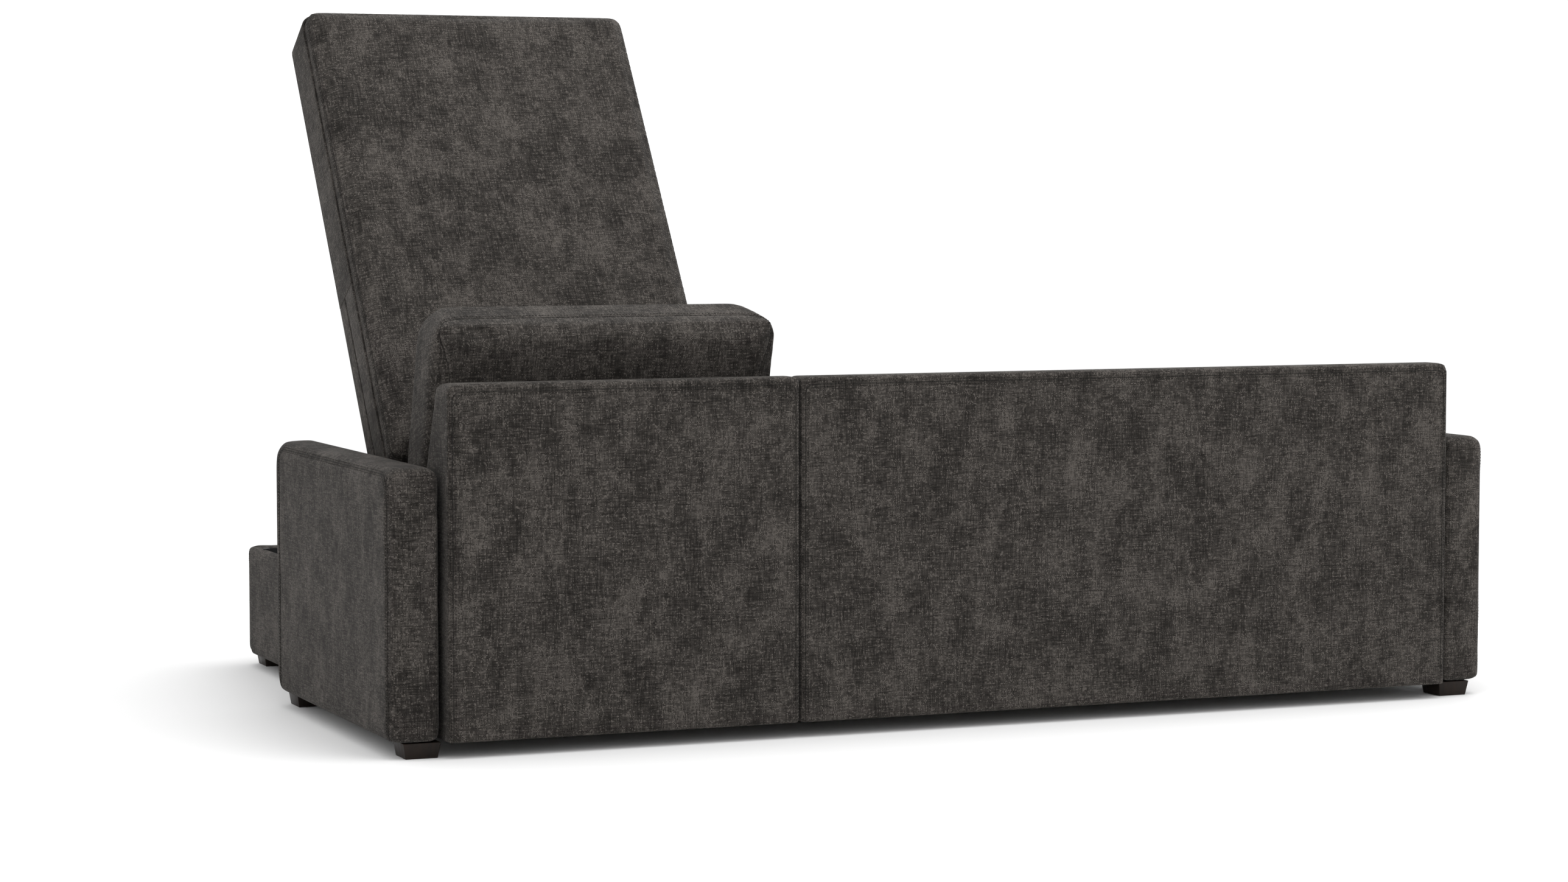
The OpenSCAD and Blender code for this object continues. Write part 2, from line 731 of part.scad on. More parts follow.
chaise_back_cover();
chaise_back_frame();
sofa_back_cover();
sofa_back_frame();
chaise_arm_cover();
chaise_arm_frame();
sofa_arm_cover();
sofa_arm_frame();
box_side_outer();
box_side_inner();
box_front_board();
box_rear_board();
box_floor();
side_cover_outer();
side_cover_inner();
front_pad();
rim_bumpers();
deck_board();
deck_pad();
seat_frame();
webbing_long();
webbing_cross();
seat_deck();
front_border();
joint_side_cover();
dust_cover();
seat_cushion_left();
seat_cushion_right();
back_cushion();
feet();
foot_bolts();
centre_feet();
connector_plates();
connector_hooks();
lid_base_cover();
lid_rails();
lid_board();
pad_board();
lid_pad();
base_plate_outer();
base_plate_inner();
base_pins();
plate_screws();
lift_arm_outer();
lift_arm_inner();
arm_pins();
control_link_outer();
control_link_inner();
link_pins();
lid_bracket_outer();
lid_bracket_inner();
bracket_screws();
gas_cylinder_outer();
gas_cylinder_inner();
gas_rod_outer();
gas_rod_inner();
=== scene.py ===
import json
from math import cos, pi, radians, sin

import bmesh
import bpy
from mathutils import Matrix, Vector, bvhtree, kdtree


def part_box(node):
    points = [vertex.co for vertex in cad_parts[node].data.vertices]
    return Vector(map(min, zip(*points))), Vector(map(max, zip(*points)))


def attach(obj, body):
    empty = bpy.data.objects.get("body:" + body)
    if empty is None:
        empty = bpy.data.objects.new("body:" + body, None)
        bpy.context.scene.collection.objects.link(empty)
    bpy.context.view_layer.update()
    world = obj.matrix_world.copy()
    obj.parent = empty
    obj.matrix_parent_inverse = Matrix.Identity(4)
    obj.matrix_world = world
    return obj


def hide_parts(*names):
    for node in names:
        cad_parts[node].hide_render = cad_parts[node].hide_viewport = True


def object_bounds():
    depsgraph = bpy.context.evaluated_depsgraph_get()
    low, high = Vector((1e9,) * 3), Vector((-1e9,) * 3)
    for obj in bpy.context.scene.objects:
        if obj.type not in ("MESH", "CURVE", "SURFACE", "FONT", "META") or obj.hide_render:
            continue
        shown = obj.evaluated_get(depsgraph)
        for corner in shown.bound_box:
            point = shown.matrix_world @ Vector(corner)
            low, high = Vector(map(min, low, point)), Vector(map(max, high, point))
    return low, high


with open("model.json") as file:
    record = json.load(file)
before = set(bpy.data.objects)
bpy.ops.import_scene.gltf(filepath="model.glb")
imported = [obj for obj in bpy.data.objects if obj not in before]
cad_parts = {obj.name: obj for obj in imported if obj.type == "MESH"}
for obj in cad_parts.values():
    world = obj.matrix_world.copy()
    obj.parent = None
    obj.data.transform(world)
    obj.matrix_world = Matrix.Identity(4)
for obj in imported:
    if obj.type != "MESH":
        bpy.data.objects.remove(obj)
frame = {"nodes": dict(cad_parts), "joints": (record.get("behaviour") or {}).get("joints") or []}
cad_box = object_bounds()

# ---- Studio: a pale floor, a white surround, soft lamps and the camera ----
# None of it belongs to the sofa. The white surround gives most of the light.
scene = bpy.context.scene
scene.view_settings.view_transform = "Standard"
back_y = cad_box[1].y

bpy.ops.object.select_all(action="DESELECT")
bpy.ops.mesh.primitive_plane_add(size=60, location=(0, 0, 0))
floor = bpy.context.object
floor.name = "floor"
floor_paint = bpy.data.materials.new("floor_paint")
floor_paint.use_nodes = True
floor_shader = floor_paint.node_tree.nodes["Principled BSDF"]
floor_shader.inputs["Base Color"].default_value = (0.84, 0.84, 0.84, 1)
floor_shader.inputs["Roughness"].default_value = 0.8
floor_shader.inputs["Specular IOR Level"].default_value = 0.1
floor.data.materials.append(floor_paint)

world = bpy.data.worlds.new("white_surround")
scene.world = world
world.use_nodes = True
surround = world.node_tree.nodes["Background"]
surround.inputs["Color"].default_value = (1, 1, 1, 1)
surround.inputs["Strength"].default_value = 1.21


def soft_lamp(name, place, aim, size, power):
    bpy.ops.object.light_add(type="AREA", location=place)
    lamp = bpy.context.object
    lamp.name = name
    lamp.data.size = size
    lamp.data.energy = power
    lamp.rotation_euler = (Vector(aim) - Vector(place)).to_track_quat("-Z", "Y").to_euler()


soft_lamp("overhead_lamp", (-0.6, 1.0, 4.2), (0, 0, 0.3), 4.0, 105)
soft_lamp("back_lamp", (-3.2, 4.6, 2.8), (0, 0.4, 0.4), 3.2, 32)

camera_turn = radians(22.5775)
camera_dip = radians(3.9434)
bpy.ops.object.camera_add(location=(3.219, 7.516, 1.0966))
camera = bpy.context.object
camera.data.lens = 85
camera.data.sensor_width = 36
look = Vector((-sin(camera_turn) * cos(camera_dip), -cos(camera_turn) * cos(camera_dip), -sin(camera_dip)))
camera.rotation_euler = look.to_track_quat("-Z", "Y").to_euler()
scene.camera = camera


# ---- Back frames' upholstery: one panel for the sofa and one for the chaise ----
# Chenille is pulled over thin foam on a wooden frame. A seam runs round the rear panel just inside
# its edges, and the front slopes back from the seat to a narrow rounded top.
def calc(tree, operation, *terms):
    """A math node on sockets or plain numbers."""
    node = tree.nodes.new("ShaderNodeMath")
    node.operation = operation
    for socket, term in zip(node.inputs, terms):
        if isinstance(term, (int, float)):
            socket.default_value = term
        else:
            tree.links.new(term, socket)
    return node.outputs[0]


def between(tree, a, b, share):
    """Goes from a to b as share goes from 0 to 1."""
    return calc(tree, "MULTIPLY_ADD", calc(tree, "SUBTRACT", b, a), share, a)


def spread(tree, value, low, high, to_low=0.0, to_high=1.0):
    """Maps the range from low to high onto a new one."""
    node = tree.nodes.new("ShaderNodeMapRange")
    tree.links.new(value, node.inputs["Value"])
    for name, number in (("From Min", low), ("From Max", high), ("To Min", to_low), ("To Max", to_high)):
        node.inputs[name].default_value = number
    return node.outputs[0]


def point(tree, *parts):
    node = tree.nodes.new("ShaderNodeCombineXYZ")
    for socket, part in zip(node.inputs, parts):
        if isinstance(part, (int, float)):
            socket.default_value = part
        else:
            tree.links.new(part, socket)
    return node.outputs[0]


def parts_of(tree, vector):
    node = tree.nodes.new("ShaderNodeSeparateXYZ")
    tree.links.new(vector, node.inputs[0])
    return node.outputs[0], node.outputs[1], node.outputs[2]


def noise(tree, place, scale, detail=2.0, roughness=0.5):
    node = tree.nodes.new("ShaderNodeTexNoise")
    tree.links.new(place, node.inputs["Vector"])
    node.inputs["Scale"].default_value = scale
    node.inputs["Detail"].default_value = detail
    node.inputs["Roughness"].default_value = roughness
    return node.outputs[0]


def new_group(name, takes, gives):
    """A shader node group with named inputs and outputs."""
    group = bpy.data.node_groups.new(name, "ShaderNodeTree")
    for title, kind in takes:
        group.interface.new_socket(name=title, in_out="INPUT", socket_type=kind)
    for title, kind in gives:
        group.interface.new_socket(name=title, in_out="OUTPUT", socket_type=kind)
    return group, group.nodes.new("NodeGroupInput").outputs, group.nodes.new("NodeGroupOutput").inputs


thread_pitch = 0.0023
slub_rate = 38
weave, given, wanted = new_group(
    "chenille_weave",
    [("Place", "NodeSocketVector"), ("Facing", "NodeSocketVector"),
     ("Dark", "NodeSocketColor"), ("Light", "NodeSocketColor")],
    [("Color", "NodeSocketColor"), ("Roughness", "NodeSocketFloat"), ("Height", "NodeSocketFloat")])
x, y, z = parts_of(weave, given["Place"])
faces = [calc(weave, "ABSOLUTE", part) for part in parts_of(weave, given["Facing"])]
end_on = calc(weave, "GREATER_THAN", faces[0], calc(weave, "MAXIMUM", faces[1], faces[2]))
upright = calc(weave, "MAXIMUM", end_on, calc(weave, "GREATER_THAN", faces[1], faces[2]))
wander = calc(weave, "MULTIPLY", calc(weave, "SUBTRACT", noise(weave, given["Place"], 40), 0.5), 0.004)
across = calc(weave, "ADD", between(weave, x, y, end_on), wander)
along = calc(weave, "ADD", between(weave, y, z, upright), wander)
warp = calc(weave, "DIVIDE", across, thread_pitch)
weft = calc(weave, "DIVIDE", along, thread_pitch)
warp_count, weft_count = calc(weave, "FLOOR", warp), calc(weave, "FLOOR", weft)
over = calc(weave, "FLOORED_MODULO", calc(weave, "ADD", warp_count, weft_count), 2.0)
warp_slub = noise(weave, point(weave, calc(weave, "MULTIPLY", warp_count, 0.73),
                               calc(weave, "MULTIPLY", along, slub_rate), 0.0), 1.0, 3.0)
weft_slub = noise(weave, point(weave, calc(weave, "MULTIPLY", across, slub_rate),
                               calc(weave, "MULTIPLY", weft_count, 0.73), 9.0), 1.0, 3.0)
slub = between(weave, weft_slub, warp_slub, over)
thread_top = between(weave, calc(weave, "ABSOLUTE", calc(weave, "SINE", calc(weave, "MULTIPLY", weft, pi))),
                     calc(weave, "ABSOLUTE", calc(weave, "SINE", calc(weave, "MULTIPLY", warp, pi))), over)
grain = weave.nodes.new("ShaderNodeTexWhiteNoise")
weave.links.new(point(weave, warp_count, weft_count, 0.0), grain.inputs["Vector"])
fleck = spread(weave, grain.outputs[0], 0.84, 1.0)
streak_long, streak_thin = 26.0, 300.0


def streaks(run, cross, seed):
    """Short thin marks that lie along one set of threads."""
    return noise(weave, point(weave, calc(weave, "MULTIPLY", run, streak_long),
                              calc(weave, "MULTIPLY", cross, streak_thin), seed), 1.0, 3.0)


bars = calc(weave, "MULTIPLY", streaks(across, along, 3.0), streaks(along, across, 5.0))
cloud = noise(weave, given["Place"], 9.0, 6.0, 0.7)
patch = noise(weave, given["Place"], 60.0, 3.0, 0.6)
fall = noise(weave, point(weave, calc(weave, "MULTIPLY", across, 20.0),
                          calc(weave, "MULTIPLY", along, 6.0), 7.0), 1.0, 4.0)
worn = calc(weave, "ADD", spread(weave, patch, 0.3, 0.7, -0.10, 0.12),
            spread(weave, fall, 0.46, 0.72, -0.03, 0.26))
marks = calc(weave, "ADD", spread(weave, bars, 0.14, 0.38, -0.20, 0.28), worn)
tone = calc(weave, "MAXIMUM", 0.04,
            calc(weave, "ADD", spread(weave, cloud, 0.44, 0.70, 0.20, 0.66), marks))
# Slub yarns vary the tone. Each thread's colour is also made lighter on its crown and darker towards its
# edges: this is painted shade between the threads.
lift = calc(weave, "MULTIPLY", spread(weave, slub, 0.34, 0.70, 0.2, 1.7),
            spread(weave, thread_top, 0.0, 1.0, 0.3, 1.2))
glint = calc(weave, "MULTIPLY", fleck, calc(weave, "MULTIPLY", tone, 3.2))
share = calc(weave, "MULTIPLY_ADD", tone, lift, glint)
paint = weave.nodes.new("ShaderNodeMix")
paint.data_type = "RGBA"
weave.links.new(share, paint.inputs["Factor"])
weave.links.new(given["Dark"], paint.inputs["A"])
weave.links.new(given["Light"], paint.inputs["B"])
weave.links.new(paint.outputs["Result"], wanted["Color"])
weave.links.new(spread(weave, slub, 0.3, 0.7, 0.98, 0.82), wanted["Roughness"])
relief = calc(weave, "MULTIPLY_ADD", thread_top, 0.7, calc(weave, "MULTIPLY", slub, 0.5))
weave.links.new(relief, wanted["Height"])

chenille_dark = (0.0095, 0.0082, 0.0072, 1)
chenille_light = (0.088, 0.0785, 0.0705, 1)


def chenille(name, lean=0.0, dark=chenille_dark, light=chenille_light):
    """The sofa's cover cloth. lean turns the weave to lie square on a piece that slopes."""
    cloth = bpy.data.materials.new(name)
    cloth.use_nodes = True
    tree = cloth.node_tree
    shader = tree.nodes["Principled BSDF"]
    source = tree.nodes.new("ShaderNodeTexCoord")
    pattern = tree.nodes.new("ShaderNodeGroup")
    pattern.node_tree = weave
    for output, socket in (("Object", "Place"), ("Normal", "Facing")):
        turn = tree.nodes.new("ShaderNodeMapping")
        turn.inputs["Rotation"].default_value = (lean, 0, 0)
        tree.links.new(source.outputs[output], turn.inputs["Vector"])
        tree.links.new(turn.outputs[0], pattern.inputs[socket])
    pattern.inputs["Dark"].default_value = dark
    pattern.inputs["Light"].default_value = light
    bump = tree.nodes.new("ShaderNodeBump")
    bump.inputs["Strength"].default_value = 0.55
    bump.inputs["Distance"].default_value = 0.0012
    tree.links.new(pattern.outputs["Height"], bump.inputs["Height"])
    tree.links.new(bump.outputs[0], shader.inputs["Normal"])
    tree.links.new(pattern.outputs["Color"], shader.inputs["Base Color"])
    tree.links.new(pattern.outputs["Roughness"], shader.inputs["Roughness"])
    shader.inputs["Specular IOR Level"].default_value = 0.10
    shader.inputs["Sheen Weight"].default_value = 0.06
    shader.inputs["Sheen Roughness"].default_value = 0.45
    shader.inputs["Sheen Tint"].default_value = (0.93, 0.91, 0.88, 1)
    return cloth


cover_cloth = chenille("chenille")
# A near-black copy of the cover cloth. On the cord along each seam line it is painted shade of the seam's
# groove, and the stitches beside it take the same dark colour.
seam_shade_cloth = chenille("seam_shade_thread", dark=(0.006, 0.0055, 0.005, 1), light=(0.04, 0.036, 0.032, 1))


def only(*pieces):
    """Selects these alone, the first as the active one."""
    bpy.ops.object.select_all(action="DESELECT")
    for piece in pieces:
        piece.select_set(True)
    bpy.context.view_layer.objects.active = pieces[0]


def finish_with(piece, kind, **settings):
    """Adds a modifier and applies it."""
    only(piece)
    modifier = piece.modifiers.new(kind.lower(), kind)
    for name, value in settings.items():
        setattr(modifier, name, value)
    bpy.ops.object.modifier_apply(modifier=modifier.name)


def cut_block(name, low, high):
    """A block of foam and wood, from its lowest to its highest corner."""
    bpy.ops.object.select_all(action="DESELECT")
    bpy.ops.mesh.primitive_cube_add(size=1, location=(Vector(low) + Vector(high)) / 2)
    block = bpy.context.object
    block.name = name
    block.scale = Vector(high) - Vector(low)
    bpy.ops.object.transform_apply(location=True, rotation=False, scale=True)
    return block


def round_edges(block, picked, radius, steps=6):
    """Rounds the edges for which picked(middle, direction) holds."""
    only(block)
    bpy.ops.object.mode_set(mode="EDIT")
    bpy.ops.mesh.select_mode(type="EDGE")
    bpy.ops.mesh.select_all(action="DESELECT")
    shape = bmesh.from_edit_mesh(block.data)
    for edge in shape.edges:
        a, b = (vertex.co for vertex in edge.verts)
        edge.select_set(bool(picked((a + b) / 2, (b - a).normalized())))
    bmesh.update_edit_mesh(block.data)
    bpy.ops.mesh.bevel(offset=radius, segments=steps, affect="EDGES")
    bpy.ops.object.mode_set(mode="OBJECT")


settle_frames = 20


def pull_over(piece, voxel, pressure, most, low=None, high=None, sink=0.001, smooth=2, finer=1):
    """Stretches cloth over the shape: it swells as cloth under pressure by at most most and draws in
    by at most sink, stays between the corners low and high, and is made finer once."""
    finish_with(piece, "REMESH", mode="VOXEL", voxel_size=voxel)
    finish_with(piece, "SMOOTH", factor=0.5, iterations=smooth)
    before = [(vertex.co.copy(), vertex.normal.copy()) for vertex in piece.data.vertices]
    if pressure > 0:
        only(piece)
        cloth = piece.modifiers.new("cloth", "CLOTH")
        cloth.settings.use_pressure = True
        cloth.settings.uniform_pressure_force = pressure
        cloth.settings.effector_weights.gravity = 0
        cloth.point_cache.frame_start = 1
        cloth.point_cache.frame_end = settle_frames
        for number in range(1, settle_frames + 1):
            scene.frame_set(number)
        bpy.ops.object.modifier_apply(modifier=cloth.name)
        scene.frame_set(1)
    for vertex, (start, normal) in zip(piece.data.vertices, before):
        move = vertex.co - start
        out = move.dot(normal)
        slide = move - normal * out
        if slide.length > sink:
            slide *= sink / slide.length
        vertex.co = start + normal * min(max(out, -sink), most) + slide
        if low is not None:
            vertex.co = [min(max(c, a), b) for c, a, b in zip(vertex.co, low, high)]
    finish_with(piece, "SMOOTH", factor=0.5, iterations=smooth)
    if finer:
        finish_with(piece, "SUBSURF", levels=finer, render_levels=finer)
    only(piece)
    bpy.ops.object.shade_smooth()


def path_round(low, high, radius, step=0.008, open_end=False):
    """Points along a rectangle with round corners, in two dimensions, starting up its right side.
    open_end leaves out the bottom side."""
    corners = [((high[0] - radius, high[1] - radius), 0), ((low[0] + radius, high[1] - radius), 90),
               ((low[0] + radius, low[1] + radius), 180), ((high[0] - radius, low[1] + radius), 270)]
    marks = [(high[0], low[1])] if open_end else []
    for (cx, cy), start in corners[:2] if open_end else corners:
        turns = max(3, round(radius * pi / 2 / step))
        angles = [radians(start + 90 * i / turns) for i in range(turns + 1)]
        marks += [(cx + radius * cos(angle), cy + radius * sin(angle)) for angle in angles]
    marks.append((low[0], low[1]) if open_end else marks[0])
    points = []
    for a, b in zip(marks, marks[1:]):
        count = max(1, round((Vector(b) - Vector(a)).length / step))
        points += [Vector(a).lerp(Vector(b), i / count) for i in range(count)]
    return points


def on_surface(piece, points, stand=0.0):
    """The nearest places on the piece, stand above its surface."""
    skin = bvhtree.BVHTree.FromObject(piece, bpy.context.evaluated_depsgraph_get())
    landed = []
    for mark in points:
        place, normal, _, _ = skin.find_nearest(mark)
        landed.append(place + normal * stand)
    return landed


def lay_thread(name, points, closed, radius):
    """A thin round thread along the points."""
    bpy.ops.object.select_all(action="DESELECT")
    bpy.ops.curve.primitive_nurbs_path_add()
    thread = bpy.context.object
    thread.name = name
    thread.data.splines.clear()
    line = thread.data.splines.new("POLY")
    line.points.add(len(points) - 1)
    for knot, place in zip(line.points, points):
        knot.co = (*place, 1)
    line.use_cyclic_u = closed
    thread.data.bevel_depth = radius
    thread.data.bevel_resolution = 1
    return thread


def stitches_along(name, points, closed, pitch=0.0065):
    """A row of stitches: one small stitch repeated along a thread."""
    guide = lay_thread("guide", points, closed, 0)
    bpy.ops.object.select_all(action="DESELECT")
    bpy.ops.mesh.primitive_ico_sphere_add(subdivisions=1, radius=1)
    stitch = bpy.context.object
    stitch.name = name
    stitch.scale = (0.0023, 0.0007, 0.0007)
    bpy.ops.object.transform_apply(location=False, rotation=False, scale=True)
    finish_with(stitch, "ARRAY", fit_type="FIT_CURVE", curve=guide, use_relative_offset=False,
                use_constant_offset=True, constant_offset_displace=(pitch, 0, 0))
    finish_with(stitch, "CURVE", object=guide, deform_axis="POS_X")
    bpy.data.objects.remove(guide)
    return stitch


def pinch(piece, points, depth, width):
    """Draws the cloth in along a seam."""
    tree = kdtree.KDTree(len(points))
    for index, mark in enumerate(points):
        tree.insert(mark, index)
    tree.balance()
    moves = []
    for vertex in piece.data.vertices:
        distance = tree.find(vertex.co)[2]
        if distance < width:
            moves.append((vertex.index, vertex.normal * depth * (1 - distance / width) ** 2))
    for index, move in moves:
        piece.data.vertices[index].co -= move


thread_radius = 0.0011


def sew(piece, seams, stitched=True, depth=0.0022):
    """Draws each seam in and lays its threads: a dark cord along the line, which is painted shade of the
    seam's groove, and the rows of stitches beside it. A seam is its line, the lines of stitches beside it,
    and whether it closes on itself."""
    threads = []
    for number, (line, beside, closed) in enumerate(seams):
        line = on_surface(piece, line)
        pinch(piece, line, depth, 0.010)
        threads.append(lay_thread(f"{piece.name}_seam_{number}", on_surface(piece, line, 0.0001),
                                  closed, thread_radius))
        bpy.ops.object.convert(target="MESH")
        for row, marks in enumerate(beside if stitched else ()):
            threads.append(stitches_along(f"{piece.name}_row_{number}_{row}",
                                          on_surface(piece, marks, 0.0003), closed))
    only(*threads)
    if len(threads) > 1:
        bpy.ops.object.join()
    thread = bpy.context.object
    thread.name = piece.name + "_stitching"
    return thread


def dress(piece, cloth, body, *nodes, fill=0.9, thread=None):
    """Gives a finished soft piece its cloth, its body and the solids that it stands for."""
    for part, stuff in ((piece, cloth), (thread, seam_shade_cloth)):
        if part is None:
            continue
        part.data.materials.clear()
        part.data.materials.append(stuff)
        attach(part, body)
    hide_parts(*nodes)


panel_ease = 0.001
joint_fill = 0.0012
top_depth = 0.073
slope_from = 0.430
seam_inset = 0.009
seam_drop = 0.006
stitch_gap = 0.005
for node, piece_name in (("sofa_back_cover", "sofa_back"), ("chaise_back_cover", "chaise_back")):
    low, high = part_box(node)
    low, high = low - Vector((joint_fill, 0, 0)), high + Vector((joint_fill, -panel_ease, 0))
    back = cut_block(piece_name, low, high)
    only(back)
    bpy.ops.object.mode_set(mode="EDIT")
    bpy.ops.mesh.select_all(action="SELECT")
    bpy.ops.mesh.bisect(plane_co=(0, 0, slope_from), plane_no=(0, 0, 1))
    bpy.ops.mesh.select_all(action="DESELECT")
    shape = bmesh.from_edit_mesh(back.data)
    for vertex in shape.verts:
        vertex.select_set(vertex.co.z > high.z - 0.001 and vertex.co.y < low.y + 0.001)
    shape.select_flush_mode()
    bmesh.update_edit_mesh(back.data)
    bpy.ops.transform.translate(value=(0, high.y - top_depth - low.y, 0))
    bpy.ops.object.mode_set(mode="OBJECT")
    outer = high.x if piece_name == "chaise_back" else low.x
    round_edges(back, lambda m, d: abs(d.y) > 0.9 and m.z > high.z - 0.01
                and abs(m.x - outer) < 0.01, 0.016)
    round_edges(back, lambda m, d: abs(d.y) > 0.9 and m.z > high.z - 0.01
                and abs(m.x - outer) > 0.3, 0.008)
    round_edges(back, lambda m, d: m.y > high.y - 0.001 and m.z > low.z + 0.001 and abs(d.y) < 0.1
                and abs(m.z - slope_from) > 0.001, 0.006, 4)
    round_edges(back, lambda m, d: abs(m.z - high.z) < 0.001 and abs(d.x) > 0.9
                and m.y < high.y - 0.02, 0.014)
    pull_over(back, 0.0065, 0.0, 0.001, low, high + Vector((0, panel_ease, 0.001)), smooth=1, finer=0)
    left, right, top = low.x + seam_inset, high.x - seam_inset, high.z - seam_inset - seam_drop
    line = path_round((left, low.z), (right, top), 0.018, open_end=True)
    rows = [path_round((left + gap, low.z), (right - gap, top - gap), 0.016, open_end=True)
            for gap in (-stitch_gap, stitch_gap)]
    seams = [([Vector((p.x, high.y, p.y)) for p in line],
              [[Vector((p.x, high.y, p.y)) for p in row] for row in rows], False)]
    dress(back, cover_cloth, "root", node, fill=0.95, thread=sew(back, seams))

# ---- Arms ----
# A box of thin boards padded with foam. A band of cloth runs over the top and down both ends, and is
# sewn to the side panels just inside the edges. The outer front corner is large and round.
arm_front_corner, arm_rear_corner = 0.068, 0.024
arm_ease = Vector((0.002, 0.002, 0))
for node, piece_name, way in (("chaise_arm_cover", "chaise_arm", 1), ("sofa_arm_cover", "sofa_arm", -1)):
    low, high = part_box(node)
    low, high = low + arm_ease, high - Vector((0.002, 0.002, 0.004))
    outside = high.x if way == 1 else low.x
    arm = cut_block(piece_name, low, high)
    round_edges(arm, lambda m, d: abs(d.z) > 0.9 and abs(m.x - outside) < 0.001
                and m.y < low.y + 0.001, arm_front_corner, 8)
    round_edges(arm, lambda m, d: abs(d.z) > 0.9 and abs(m.x - outside) < 0.001
                and m.y > high.y - 0.001, arm_rear_corner)
    round_edges(arm, lambda m, d: abs(d.z) > 0.9 and abs(m.x - outside) > 0.08, 0.009)
    round_edges(arm, lambda m, d: m.z > high.z - 0.001, 0.020)
    round_edges(arm, lambda m, d: m.z < low.z + 0.001, 0.006, 3)
    pull_over(arm, 0.010, 3.0, 0.005, low - arm_ease, high + Vector((0.002, 0.002, 0.004)))
    seams = []
    for side in (low.x, high.x):
        front_in = 0.070 if side == outside else 0.020
        line, near, far = [[Vector((side, p.x, p.y)) for p in path_round(
            (low.y + front_in + g, low.z), (high.y - 0.022 - g, high.z - 0.012 - g), 0.030, open_end=True)]
            for g in (0, -stitch_gap, stitch_gap)]
        seams.append((line, (near, far), False))
    dress(arm, cover_cloth, "root", node, fill=0.95, thread=sew(arm, seams))

# ---- Storage box: padded front and covered sides ----
# The front is thick foam with large round corners, capped over the front board. The sides are thin
# covers glued over the boards and wrapped over their top edges.

def copy_solid(name, node):
    """A soft piece's starting shape, copied from its plain solid."""
    only(frame["nodes"][node])
    bpy.ops.object.duplicate()
    piece = bpy.context.object
    piece.name = name
    piece.parent = None
    for key in list(piece.keys()):
        del piece[key]
    bpy.ops.object.mode_set(mode="EDIT")
    bpy.ops.mesh.select_all(action="SELECT")
    bpy.ops.mesh.remove_doubles(threshold=0.0001)
    bpy.ops.object.mode_set(mode="OBJECT")
    return piece


def ease_in(piece, amounts):
    """Takes a little off each side, for the cloth to swell into."""
    places = [vertex.co for vertex in piece.data.vertices]
    low = Vector(map(min, zip(*places)))
    high = Vector(map(max, zip(*places)))
    middle = (low + high) / 2
    scale = [(b - a - 2 * take) / (b - a) for a, b, take in zip(low, high, amounts)]
    for vertex in piece.data.vertices:
        vertex.co = [m + (c - m) * s for c, m, s in zip(vertex.co, middle, scale)]
    return low, high


front = copy_solid("chaise_front", "front_pad")
low, high = ease_in(front, (0.002, 0.0, 0.001))
pull_over(front, 0.008, 3.0, 0.005, low, high)
seams = []
for side in (low.x, high.x):
    rows = [[Vector((side, low.y + 0.090 - p.x, p.y)) for p in
             path_round((0.004, low.z), (0.070 - g, high.z - 0.004 - g), 0.062, open_end=True)]
            for g in (0.004, 0.009)]
    seams.append((rows[0], (rows[1],), False))
dress(front, cover_cloth, "root", "front_pad", fill=0.95, thread=sew(front, seams, depth=0.001))

for node, piece_name in (("side_cover_outer", "chaise_side_outer"),
                         ("side_cover_inner", "chaise_side_inner")):
    low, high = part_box(node)
    outer = high.x if piece_name.endswith("outer") else low.x
    low.x += 0.0004
    high.x -= 0.0004
    side = cut_block(piece_name, low, high)
    round_edges(side, lambda m, d: abs(d.y) > 0.9, 0.006, 4)
    pull_over(side, 0.008, 0.0, 0.002, low, high, smooth=1, finer=0)
    dress(side, cover_cloth, "root", node, fill=1.0)

# ---- Deck behind the lid ----
# A fixed foam block on a board, which carries the loose back cushion.
deck = copy_solid("chaise_deck", "deck_pad")
low, high = ease_in(deck, (0.003, 0.003, 0.002))
pull_over(deck, 0.009, 3.0, 0.006, low, high)
dress(deck, cover_cloth, "root", "deck_pad", fill=0.9)

# ---- Sofa front border ----
# Foam over the front rail, covered down to the underside, with a seam under the cushions. It laps
# back over the rail's ends.
border = copy_solid("sofa_front", "front_border")
low, high = ease_in(border, (0.0005, 0.0, 0.001))
lap = 0.006
for vertex in border.data.vertices:
    if vertex.co.y > high.y - 0.001:
        vertex.co.y += lap
pull_over(border, 0.010, 3.0, 0.005, low, high + Vector((0, lap, 0)))
seam_z = high.z - 0.030
end_gap, seam_steps = 0.012, 180
seam_run = high.x - low.x - 2 * end_gap
marks = [[Vector((low.x + end_gap + seam_run * i / seam_steps, low.y, seam_z + g))
          for i in range(seam_steps + 1)] for g in (0, -stitch_gap, stitch_gap)]
dress(border, cover_cloth, "root", "front_border", fill=0.95,
      thread=sew(border, [(marks[0], (marks[1], marks[2]), False)]))

# ---- Loose seat cushions ----
# Foam in boxed covers: a top and a bottom panel joined by a band, with a sewn edge round each panel.
for node in ("seat_cushion_left", "seat_cushion_right"):
    seat = copy_solid(node.replace("seat_cushion", "sofa_cushion"), node)
    low, high = ease_in(seat, (0.006, 0.006, 0.008))
    pull_over(seat, 0.012, 4.0, 0.022, low, high + Vector((0, 0, 0.014)), sink=0.004)
    seams = []
    for level in (high.z - 0.014, low.z + 0.016):
        row = [Vector((p.x, p.y, level)) for p in
               path_round((low.x - 0.002, low.y - 0.002), (high.x + 0.002, high.y + 0.002), 0.035)]
        seams.append((row, ([mark - Vector((0, 0, 0.005)) for mark in row],), True))
    dress(seat, cover_cloth, "left_seat_cushion" if node.endswith("left") else "right_seat_cushion", node,
          fill=0.85, thread=sew(seat, seams, depth=0.003))

